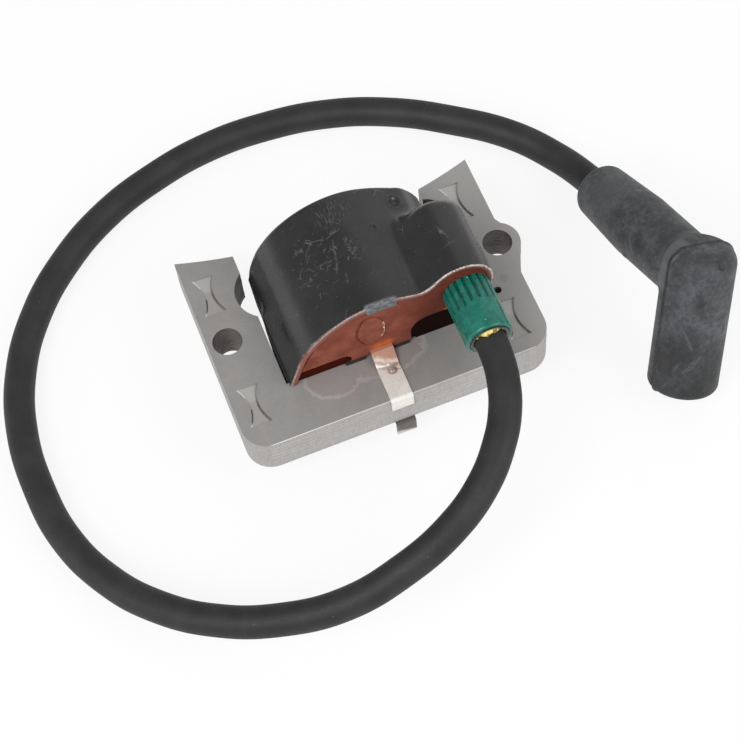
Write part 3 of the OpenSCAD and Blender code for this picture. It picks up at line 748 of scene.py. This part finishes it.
def steel_finish():
    """Rolled sheet whose cut faces are painted lighter than its tops as if lit from the side, with painted
    shade in the bores and notches, interlock marks with painted light and shade, and dried residue.
    """
    f = Finish("sheet_steel", Metallic=0.3)
    x, y, z = f.axes()
    flat = f.step(f.math("ABSOLUTE", f.facing()[2]), 0.6, 0.9)
    top = f.times(flat, f.step(z, CORE_T - 0.5, CORE_T - 0.4))
    blotch = f.noise(0.09, 4)
    cloud = f.noise(0.55, 5, 0.6)
    grain = f.noise(1.0, 4, 0.7, at=f.stretch(0.8, 9, 9))
    fine = f.noise(5.0, 3, 0.7)
    rolled = f.mix(f.step(blotch, 0.35, 0.7), (0.275, 0.271, 0.265), (0.315, 0.306, 0.299))
    rolled = f.mix(f.step(cloud, 0.45, 0.75, 0, 0.4), rolled, (0.345, 0.335, 0.325))
    rolled = f.mix(f.step(grain, 0.4, 0.7, 0, 0.22), rolled, (0.2, 0.197, 0.194))
    rolled = f.mix(f.step(fine, 0.55, 0.75, 0, 0.3), rolled, (0.4, 0.388, 0.378))
    tarnish = f.noise(0.22, 5, 0.65, warp=0.6)
    rolled = f.mix(f.step(tarnish, 0.47, 0.68, 0, 0.4), rolled, (0.32, 0.283, 0.265))
    specks = f.step(f.cells(0.9), 0.05, 0.12, 1, 0)
    rolled = f.mix(f.times(specks, f.step(blotch, 0.5, 0.6), 0.5), rolled, (0.12, 0.1, 0.09))
    left_pool = f.math("SUBTRACT", f.away_from(*LEFT_POOL), LEFT_POOL_R)
    right_pool = f.math("SUBTRACT", f.away_from(*RIGHT_POOL, RIGHT_POOL_SQUEEZE), RIGHT_POOL_R)
    pool = f.add("ShaderNodeMath", {0: left_pool, 1: right_pool, 2: 2.0}, operation="SMOOTH_MIN")
    pool = f.math("ADD", pool, f.step(cloud, 0.3, 0.7, -0.4, 0.4))
    residue = f.times(f.step(pool, -0.9, 0.6, 1, 0), top, f.step(cloud, 0.3, 0.6, 0.3, 0.55))
    rolled = f.mix(residue, rolled, (0.33, 0.275, 0.257))
    shore = f.times(f.band(pool, -0.2, 0.25, 0.4), top, f.step(blotch, 0.4, 0.6, 0.4, 0.75))
    rolled = f.mix(shore, rolled, (0.43, 0.395, 0.378))
    stain = f.times(f.post(*STAIN_AT, STAIN_R, 0.5), top, 0.55)
    rolled = f.mix(stain, rolled, (0.12, 0.1, 0.085))
    # A thin dark line on the right leg beside the lobe
    along = f.band(y, DARK_LINE_FRONT, DARK_LINE_BACK, 0.5)
    dark_line = f.times(f.band(x, DARK_LINE_X - 0.05, DARK_LINE_X + 0.05, 0.12), along, top, 0.5)
    rolled = f.mix(dark_line, rolled, grey(0.07))
    rear_left = f.times(f.step(y, 8.0, 20.0, 0, 0.2), f.step(x, -10.0, 10.0, 1, 0))
    rolled = f.mix(rear_left, rolled, (0.2, 0.198, 0.195))
    rolled = f.mix(f.step(x, 12.0, 30.0, 0, 0.5), rolled, (0.385, 0.37, 0.355))
    rolled = bowtie_marks(f, x, y, rolled)
    # Painted highlight along the burr of the front top edge
    burr_highlight = f.times(f.step(y, BAR_FRONT + 0.12, BAR_FRONT + 0.3, 1, 0), f.step(fine, 0.3, 0.5, 0.5, 1))
    rolled = f.mix(burr_highlight, rolled, grey(0.85))

    # Cut faces: a streaked tone, painted lighter than the tops as if lit from the side
    streak = f.noise(1.0, 3, 0.6, at=f.stretch(5, 5, 0.4))
    cut = f.mix(f.step(streak, 0.35, 0.7), (0.37, 0.354, 0.34), (0.46, 0.44, 0.423))
    cut = f.mix(f.step(fine, 0.5, 0.75, 0, 0.35), cut, (0.33, 0.31, 0.3))
    uneven = f.noise(1.0, 3, 0.6, at=f.stretch(0.9, 0.9, 2.0))
    sheet_lines = f.math("SINE", f.times(z, 2 * math.pi / SHEET_T))
    sheet_lines = f.math("ADD", sheet_lines, f.step(uneven, 0.3, 0.7, -0.8, 0.8))
    # Bore walls: painted shade over the sheets' dark joints, with painted light on their right side
    for at_x, at_y, r in BORES:
        wall = f.mix(f.step(sheet_lines, -0.8, 0.8), (0.05, 0.043, 0.038), (0.17, 0.148, 0.134))
        lit = f.step(f.math("SUBTRACT", x, at_x), 0.1 * r, 0.9 * r, 0, 0.65)
        wall = f.mix(f.times(lit, f.step(sheet_lines, -0.9, 0.4, 0.4, 1)), wall, (0.33, 0.285, 0.26))
        cut = f.mix(f.post(at_x, at_y, r + 0.15, 0.2), cut, wall)
    # Painted shade on the notch walls
    for at_x, at_y in NOTCHES:
        cut = f.mix(f.post(at_x, at_y, NOTCH_R, 0.2), cut, (0.035, 0.031, 0.029))
    f.paint(f.mix(flat, cut, rolled), f.step(grain, 0.3, 0.8, 0.48, 0.64))
    f.bump(f.times(streak, f.step(flat, 0, 1, 1, 0)), 0.02, 0.5)
    f.bump(grain, 0.012, 0.5)
    return f.material


def hair_scratches(f, scale, shift):
    """Short fine scratches in all directions: broken pieces of cell edges."""
    moved = f.add("ShaderNodeVectorMath", {0: f.place, 1: (shift, shift, shift)}, operation="ADD")
    edge = f.cells(scale, moved, "DISTANCE_TO_EDGE")
    broken = f.step(f.noise(0.45, 2, at=moved), 0.53, 0.62)
    return f.times(f.step(edge, 0.02 * scale, 0.08 * scale, 1, 0), broken)


def resin_tone(f, x):
    """Red-brown of the cast resin, a little darker to the right, with pale dust."""
    cloud = f.noise(0.3, 4)
    colour = f.mix(f.step(cloud, 0.3, 0.7), (0.19, 0.052, 0.033), (0.27, 0.082, 0.053))
    colour = f.mix(f.step(x, 1.0, 10.0, 0, 0.7), colour, (0.09, 0.017, 0.009))
    dust = f.step(f.cells(2.2), 0.06, 0.2, 1, 0)
    dust = f.times(dust, f.step(f.noise(0.6), 0.4, 0.6), f.step(x, 0.0, 8.0, 0.55, 0.2))
    return f.mix(dust, colour, (0.5, 0.28, 0.22))


SCRATCHED_AT, SCRATCHED_R = (-7.5, 0.0, 29.5), 7.0
BRUSHED_AT, BRUSHED_R = (-2.5, 9.0, 30.8), 3.6


def housing_finish():
    """Black moulded plastic with scratches, dust, a scuffed rim and the gate's scar."""
    f = Finish("housing_plastic", IOR=1.6)
    x, _, z = f.axes()
    cloud = f.noise(0.12, 4)
    fine = f.noise(3.0, 4, 0.65)
    colour = f.mix(f.step(cloud, 0.35, 0.7), (0.008, 0.008, 0.0085), (0.014, 0.014, 0.0145))
    dust = f.step(f.cells(0.75), 0.035, 0.1, 1, 0)
    dust = f.times(dust, f.step(f.noise(0.4, 2), 0.46, 0.58))
    haze = f.times(f.step(f.noise(0.2, 5, 0.7), 0.5, 0.75), 0.1)
    ragged = f.times(f.layer("scratch"), f.step(f.noise(4.0, 2), 0.3, 0.55, 0.35, 1))
    nicks = f.times(hair_scratches(f, 0.2, 0.0), f.step(f.noise(0.13, 2), 0.45, 0.6, 0.15, 0.8))
    crowd = f.spot(SCRATCHED_AT, SCRATCHED_R, 3.0)
    nicks = f.most(nicks, f.times(hair_scratches(f, 0.35, 31.0), crowd))
    nicks = f.most(nicks, f.times(hair_scratches(f, 0.5, 57.0), crowd, 0.7))
    brushed = f.noise(1.0, 3, 0.7, at=f.stretch(3.5, 0.6, 1.0))
    brushed = f.times(f.spot(BRUSHED_AT, BRUSHED_R, 2.0), f.step(brushed, 0.5, 0.66), 0.5)
    nicks = f.most(nicks, brushed)
    ragged = f.most(ragged, f.times(nicks, 0.8))
    marks = f.most(f.times(ragged, 0.6), f.times(dust, 0.55))
    colour = f.mix(haze, colour, (0.05, 0.05, 0.052))
    colour = f.mix(marks, colour, (0.24, 0.24, 0.235))
    colour = f.mix(f.layer("face"), colour, resin_tone(f, x))
    chalk = f.noise(2.6, 4, 0.75)
    pale = f.mix(f.step(chalk, 0.38, 0.62), (0.24, 0.12, 0.1), (0.46, 0.42, 0.4))
    pale = f.mix(f.times(f.step(x, 7.0, 11.0), f.step(chalk, 0.4, 0.55)), pale, (0.75, 0.68, 0.65))
    colour = f.mix(f.times(f.layer("rim"), f.step(f.noise(1.1, 3), 0.25, 0.5, 0.55, 1)), colour, pale)
    worn = f.mix(f.step(f.noise(1.5, 4, 0.7), 0.35, 0.7), (0.07, 0.072, 0.076), (0.19, 0.195, 0.2))
    colour = f.mix(f.layer("scar"), colour, worn)
    rough = f.step(fine, 0.3, 0.75, 0.24, 0.34)
    dull = f.most(f.most(marks, haze), f.most(f.layer("face"), f.layer("scar")))
    in_gap = f.step(z, CORE_T - 0.2, CORE_T + 0.8, 1, 0)
    f.paint(colour, f.most(f.most(rough, f.times(dull, 0.62)), in_gap))
    f.bump(f.noise(0.35, 3), 0.05, 0.25)
    f.bump(f.math("SUBTRACT", fine, f.times(ragged, 3.0)), 0.008, 0.4)
    return f.material


# Marks on the resin's front: painted shade and a painted highlight at the edge of a raised oval, amber by the
# strap and a drop of glue
OVAL_X, OVAL_Z, OVAL_SQUEEZE = -3.75, 21.3, 0.58
AMBER = ((-2.4, -16.0, 13.4), 1.5, 1.1), ((-0.4, -16.0, 13.6), 1.3, 1.0)
GLUE_DROP_AT, GLUE_DROP_R = (13.7, -15.7, 18.6), 0.8
RECESS_FRONT, RECESS_BACK = -15.6, -15.35


def resin_finish():
    """Red-brown cast resin with painted shade in its recesses, and amber where it meets the strap."""
    depth = {"Subsurface_Weight": 0.05, "Subsurface_Scale": 0.0006}
    f = Finish("potting_resin", IOR=1.5, Specular_IOR_Level=0.05, **depth)
    x, y, z = f.axes()
    colour = resin_tone(f, x)
    away = f.apart(f.stretch(1, 0, OVAL_SQUEEZE), (OVAL_X, 0, OVAL_Z * OVAL_SQUEEZE))
    away = f.math("ADD", away, f.step(f.noise(0.7), 0.3, 0.7, -0.2, 0.2))
    # Painted shade along the raised oval's edge, mostly on its left
    outline = f.band(away, 3.05, 3.12, 0.12)
    colour = f.mix(f.times(outline, f.step(x, -6.2, -4.2, 0.85, 0.1)), colour, (0.045, 0.006, 0.003))
    # Painted highlight along the oval's right edge
    oval_edge_highlight = f.times(f.band(away, 2.95, 3.1, 0.1), f.step(x, -2.2, -1.0), f.band(z, 18.0, 23.0, 0.5))
    colour = f.mix(f.times(oval_edge_highlight, 0.85), colour, (0.8, 0.6, 0.52))
    # Painted shade in the recesses behind the front face
    deep = f.step(y, RECESS_FRONT, RECESS_BACK)
    well = f.mix(f.step(x, -2.0, 4.0), (0.05, 0.005, 0.002), (0.01, 0.003, 0.002))
    colour = f.mix(deep, colour, well)
    amber = f.most(*(f.spot(*place) for place in AMBER))
    colour = f.mix(f.times(amber, 0.85), colour, (0.66, 0.14, 0.04))
    glued = f.times(f.spot(GLUE_DROP_AT, GLUE_DROP_R, 0.5), f.step(f.noise(1.5), 0.35, 0.55))
    colour = f.mix(glued, colour, (0.45, 0.24, 0.1))
    f.paint(colour, f.most(f.step(f.noise(1.4, 4), 0.3, 0.7, 0.28, 0.46), f.times(deep, 0.7)))
    f.bump(f.noise(0.5, 3), 0.08, 0.3)
    f.bump(f.math("SUBTRACT", 1.0, outline), 0.12, 0.5)
    return f.material


RIVET_X, RIVET_Y = -1.35, -20.7


def tinned_finish():
    """Tinned strip with a soft sheen, flux stains near its root and rivet, and a painted highlight along its
    bend.
    """
    f = Finish("tinned_steel", Metallic=0.35)
    x, y, z = f.axes()
    cloud = f.noise(0.5, 4)
    brush = f.noise(1.0, 3, 0.6, at=f.stretch(9, 0.7, 9))
    colour = f.mix(f.step(cloud, 0.35, 0.7), (0.82, 0.8, 0.74), (0.92, 0.9, 0.85))
    colour = f.mix(f.step(brush, 0.45, 0.75, 0, 0.3), colour, (0.62, 0.6, 0.56))
    slant = f.math("ADD", f.math("ADD", y, f.times(x, 0.4)), f.times(f.noise(0.7, 3), 2.4))
    film = f.step(slant, -19.4, -16.9, 0, 0.9)
    colour = f.mix(film, colour, (0.38, 0.16, 0.085))
    streak = f.most(f.band(slant, -18.9, -18.6, 0.3), f.times(f.band(slant, -20.0, -19.8, 0.35), 0.7))
    colour = f.mix(f.times(streak, 0.65), colour, (0.36, 0.17, 0.11))
    below = f.step(f.math("ADD", y, f.times(cloud, 1.5)), -20.4, -19.4, 1, 0.3)
    ring = f.times(f.post(RIVET_X, RIVET_Y, 0.9, 0.5), below)
    colour = f.mix(f.times(ring, 0.8), colour, (0.2, 0.11, 0.07))
    # Painted highlight along the top of the bend over the core's front edge
    bend_highlight = f.band(y, BAR_FRONT - 0.45, BAR_FRONT + 0.1, 0.2)
    above = f.step(z, CORE_T - 0.2, CORE_T + 0.1)
    colour = f.mix(f.times(bend_highlight, above, 0.8), colour, (1.0, 0.99, 0.96))
    f.paint(colour, f.step(brush, 0.3, 0.8, 0.26, 0.42))
    f.bump(brush, 0.01, 0.4)
    return f.material


def terminal_finish():
    """Tinned tab in its bright tone at the lower left, with painted shade over its upper part, under the
    core.
    """
    f = Finish("terminal_steel", Metallic=0.6)
    x, _, z = f.axes()
    cloud = f.noise(0.8, 4)
    # Painted shade above, over the tin's bright tone below
    slope = f.math("ADD", f.math("ADD", z, f.times(x, 0.35)), f.times(cloud, 1.2))
    colour = f.mix(f.step(slope, -4.6, -3.2), (0.62, 0.6, 0.54), (0.13, 0.12, 0.1))
    f.paint(colour, f.step(cloud, 0.3, 0.7, 0.3, 0.5))
    f.bump(cloud, 0.03, 0.4)
    return f.material


def sleeve_finish():
    """Green plastic sleeve, glossy, with painted shade in its flutes."""
    f = Finish("sleeve_plastic", IOR=1.5, Subsurface_Weight=0.1, Subsurface_Scale=0.001)
    y = f.axes()[1]
    cloud = f.noise(0.5, 4)
    colour = f.mix(f.step(cloud, 0.3, 0.7), (0.003, 0.105, 0.078), (0.009, 0.165, 0.125))
    radius = f.apart(f.stretch(1, 0, 1), (SLEEVE_X, 0, SLEEVE_Z))
    # Painted shade in the flutes' grooves
    flute_shade = f.step(radius, SLEEVE_R - 0.4, SLEEVE_R - 0.08, 1, 0)
    behind_lip = f.step(y, SLEEVE_MOUTH + 1, SLEEVE_MOUTH + 2)
    colour = f.mix(f.times(flute_shade, behind_lip, 0.65), colour, (0.001, 0.03, 0.024))
    pale = f.step(f.noise(1.2, 4), 0.55, 0.75, 0, 0.3)
    colour = f.mix(pale, colour, (0.05, 0.25, 0.2))
    specks = f.times(f.step(f.cells(0.8), 0.06, 0.13, 1, 0), f.step(f.noise(0.7), 0.5, 0.6), 0.8)
    colour = f.mix(specks, colour, (0.6, 0.66, 0.6))
    f.paint(colour, f.step(f.noise(1.8, 4), 0.3, 0.7, 0.16, 0.36))
    f.bump(f.noise(1.1, 3), 0.06, 0.3)
    return f.material


def glue_finish():
    """Cured glue: yellow where it stands up, dark where it is thin."""
    f = Finish("seal_glue", IOR=1.5)
    y = f.axes()[1]
    lump = f.noise(0.9, 4)
    thick = f.times(f.step(y, SLEEVE_MOUTH - 0.55, SLEEVE_MOUTH - 0.15, 1, 0), f.step(lump, 0.36, 0.5))
    yellow = f.mix(f.step(lump, 0.4, 0.6), (0.34, 0.22, 0.02), (0.8, 0.66, 0.22))
    f.paint(f.mix(thick, (0.012, 0.02, 0.012), yellow), f.step(lump, 0.3, 0.7, 0.15, 0.35))
    f.bump(f.noise(1.6, 4), 0.2, 0.8)
    return f.material


def lead_finish():
    """Black extruded rubber with a satin surface and a few specks."""
    f = Finish("lead_rubber", IOR=1.45)
    cloud = f.noise(0.15, 4)
    fine = f.noise(2.2, 4, 0.65)
    colour = f.mix(f.step(cloud, 0.35, 0.7), (0.013, 0.013, 0.0135), (0.022, 0.0215, 0.022))
    specks = f.times(f.step(f.cells(0.45), 0.03, 0.07, 1, 0), f.step(f.noise(0.2), 0.5, 0.6))
    colour = f.mix(f.times(specks, 0.6), colour, (0.2, 0.195, 0.19))
    f.paint(colour, f.step(fine, 0.3, 0.7, 0.52, 0.66))
    f.bump(fine, 0.03, 0.35)
    return f.material


def boot_finish():
    """Moulded rubber, blue-grey with bloom, dark rubbed patches, painted shade low on the barrel, a parting
    line painted dark as the shadow beside its ridge, and scuffs.
    """
    f = Finish("boot_rubber", IOR=1.45)
    patch = f.noise(0.16, 5, 0.62)
    small = f.noise(0.55, 5, 0.68, warp=0.5)
    fine = f.noise(2.4, 4, 0.65)
    mottle = f.noise(1.1, 4, 0.6, warp=0.8)
    colour = f.mix(f.step(patch, 0.38, 0.62), (0.036, 0.037, 0.039), (0.078, 0.084, 0.092))
    colour = f.mix(f.step(small, 0.42, 0.66, 0, 0.7), colour, (0.031, 0.032, 0.034))
    colour = f.mix(f.step(fine, 0.5, 0.75, 0, 0.35), colour, (0.095, 0.1, 0.108))
    colour = f.mix(f.step(mottle, 0.52, 0.66, 0, 0.5), colour, (0.022, 0.0225, 0.024))
    colour = f.mix(f.step(mottle, 0.44, 0.32, 0, 0.35), colour, (0.095, 0.1, 0.107))
    # Dark rubbed patches, and painted shade low on the barrel
    colour = f.mix(f.times(f.layer("dark"), 0.7), colour, (0.009, 0.009, 0.009))
    colour = f.mix(f.times(f.layer("scuff"), 0.6), colour, (0.13, 0.135, 0.14))
    bloom = f.times(f.layer("bloom"), f.step(small, 0.3, 0.6, 0.35, 0.75))
    colour = f.mix(bloom, colour, (0.11, 0.115, 0.122))
    # Painted shadow beside the parting line's ridge
    colour = f.mix(f.times(f.layer("seam"), 0.95), colour, (0.003, 0.003, 0.003))
    specks = f.times(f.step(f.cells(0.6), 0.03, 0.08, 1, 0), f.step(f.noise(0.3), 0.5, 0.6))
    colour = f.mix(f.times(specks, 0.5), colour, (0.26, 0.26, 0.25))
    f.paint(colour, f.step(small, 0.3, 0.7, 0.48, 0.62))
    f.bump(patch, 0.15, 0.25)
    f.bump(small, 0.05, 0.4)
    return f.material


def plain_finish(name, dark, light, rough, metallic):
    """Moulded or plated pieces that lie hidden: two tones, with roughness and relief."""
    f = Finish(name, Metallic=metallic)
    tone = f.noise(0.8, 4)
    colour = f.mix(f.step(tone, 0.3, 0.7), dark, light)
    f.paint(colour, f.step(f.noise(1.6, 3), 0.3, 0.7, rough - 0.08, rough + 0.08))
    f.bump(f.noise(2.4, 3), 0.02, 0.4)
    return f.material


WIRE_PITCH = 0.2


def wound_finish():
    """Enamelled copper wire, laid turn beside turn along Y."""
    f = Finish("copper_wire", Metallic=0.85)
    turns = f.math("SINE", f.times(f.axes()[1], 2 * math.pi / WIRE_PITCH))
    tone = f.noise(0.6, 3)
    colour = f.mix(f.step(tone, 0.3, 0.7), (0.52, 0.2, 0.09), (0.7, 0.33, 0.16))
    colour = f.mix(f.step(turns, -1, 0.2, 0.6, 0), colour, (0.15, 0.05, 0.02))
    f.paint(colour, f.step(tone, 0.3, 0.7, 0.25, 0.4))
    f.bump(turns, WIRE_PITCH / 3, 0.8)
    return f.material


def wear(material, *pieces):
    """Gives pieces, or the solids of these names, a material."""
    for piece in pieces:
        data = nodes[piece].data if isinstance(piece, str) else piece.data
        data.materials.clear()
        data.materials.append(material)


# Solids that lie hidden in the housing: name of the finish, two tones, roughness and how metallic it is
HIDDEN_FINISHES = {
    ("coil_bobbin", "thyristor", "rectifier_diodes"): ("former_plastic", grey(0.012), grey(0.03), 0.5, 0),
    ("winding_wrap",): ("wrap_film", (0.6, 0.45, 0.13), (0.72, 0.58, 0.22), 0.3, 0),
    ("circuit_board",): ("board", (0.05, 0.16, 0.07), (0.08, 0.22, 0.1), 0.45, 0),
    ("storage_capacitor",): ("capacitor_case", (0.4, 0.24, 0.03), (0.5, 0.33, 0.06), 0.3, 0),
    ("gate_resistor",): ("resistor_body", (0.5, 0.36, 0.2), (0.6, 0.46, 0.28), 0.4, 0),
    ("transformer_core",): ("ferrite", grey(0.05), grey(0.09), 0.6, 0.3),
    ("transformer_spool",): ("spool_plastic", (0.62, 0.58, 0.46), (0.72, 0.68, 0.57), 0.45, 0),
    ("lead_contact",): ("contact_brass", (0.6, 0.42, 0.13), (0.74, 0.54, 0.2), 0.3, 0.9),
}
WINDINGS = "charge_winding", "trigger_winding", "primary_winding", "secondary_winding"

make_camera()
lead = make_lead()
housing = make_housing()
boot = make_boot()
sheets = make_sheets()
sleeve = lathe("green_sleeve", sleeve_profile, 16 * FLUTES, "lead_sleeve")
glue = lathe("mouth_glue", glue_profile, 96, "sleeve_seal")

wear(steel_finish(), sheets, "core_top_sheet", "core_bottom_sheet")
wear(housing_finish(), housing)
wear(resin_finish(), "potting")
wear(tinned_finish(), "ground_strap", "strap_rivet", "plug_clip", "clip_stem")
wear(terminal_finish(), "stop_terminal")
wear(lead_finish(), lead)
wear(boot_finish(), boot)
wear(sleeve_finish(), sleeve)
wear(glue_finish(), glue)
wear(wound_finish(), *WINDINGS, "lead_conductor")
for names, values in HIDDEN_FINISHES.items():
    wear(plain_finish(*values), *names)


# Studio, in metres
FLOOR_HALF, FLOOR_DROP = 3.0, 0.0001
FLOOR_TONE, FLOOR_GLOW = 0.86, 0.85
WORLD_STRENGTH = 0.42


def make_floor():
    """Pale floor: white to the eye, with the object's soft shadow."""
    mesh = bpy.data.meshes.new("floor")
    z = HOUSING_LOW * MM - FLOOR_DROP
    corners = [(FLOOR_HALF * x, FLOOR_HALF * y, z) for x, y in ((-1, -1), (1, -1), (1, 1), (-1, 1))]
    mesh.from_pydata(corners, [], [(0, 1, 2, 3)])
    floor = bpy.data.objects.new("floor", mesh)
    scene.collection.objects.link(floor)
    material = bpy.data.materials.new("floor")
    material.use_nodes = True
    tree = material.node_tree
    shader = tree.nodes["Principled BSDF"]
    shader.inputs["Base Color"].default_value = (*grey(FLOOR_TONE), 1)
    shader.inputs["Roughness"].default_value = 0.9
    shader.inputs["Specular IOR Level"].default_value = 0.1
    glow = tree.nodes.new("ShaderNodeEmission")
    glow.inputs["Color"].default_value = (*grey(1), 1)
    seen = seen_rays(tree, FLOOR_GLOW)
    blend = tree.nodes.new("ShaderNodeMixShader")
    tree.links.new(seen, blend.inputs[0])
    tree.links.new(shader.outputs[0], blend.inputs[1])
    tree.links.new(glow.outputs[0], blend.inputs[2])
    tree.links.new(blend.outputs[0], tree.nodes["Material Output"].inputs["Surface"])
    mesh.materials.append(material)


def seen_rays(tree, share):
    """share for rays from the eye, also by way of a mirror or glass, and 0 for other rays."""
    path = tree.nodes.new("ShaderNodeLightPath")
    total = path.outputs["Is Camera Ray"]
    for name in ("Is Glossy Ray", "Is Transmission Ray"):
        most = tree.nodes.new("ShaderNodeMath")
        most.operation = "MAXIMUM"
        tree.links.new(total, most.inputs[0])
        tree.links.new(path.outputs[name], most.inputs[1])
        total = most.outputs[0]
    scaled = tree.nodes.new("ShaderNodeMath")
    scaled.operation = "MULTIPLY"
    tree.links.new(total, scaled.inputs[0])
    scaled.inputs[1].default_value = share
    return scaled.outputs[0]


def make_world():
    """Even light from all round."""
    world = bpy.data.worlds.new("studio")
    scene.world = world
    world.use_nodes = True
    room = world.node_tree.nodes["Background"]
    room.inputs["Color"].default_value = (*grey(1), 1)
    room.inputs["Strength"].default_value = WORLD_STRENGTH


def make_lamp(name, place, size, power):
    """Soft square lamp that looks at the object."""
    data = bpy.data.lights.new(name, "AREA")
    data.size = size
    data.energy = power
    lamp = bpy.data.objects.new(name, data)
    scene.collection.objects.link(lamp)
    lamp.location = place
    lamp.rotation_mode = "QUATERNION"
    lamp.rotation_quaternion = (-Vector(place)).to_track_quat("-Z", "Y")


make_floor()
make_world()
make_lamp("key", place=(-0.45, -0.35, 0.75), size=0.5, power=5.0)
make_lamp("fill", place=(0.5, -0.5, 0.5), size=0.6, power=3.4)
make_lamp("back", place=(0.9, 0.85, 0.8), size=1.6, power=3.2)
make_lamp("left", place=(-0.8, -0.1, 0.25), size=0.4, power=1.2)
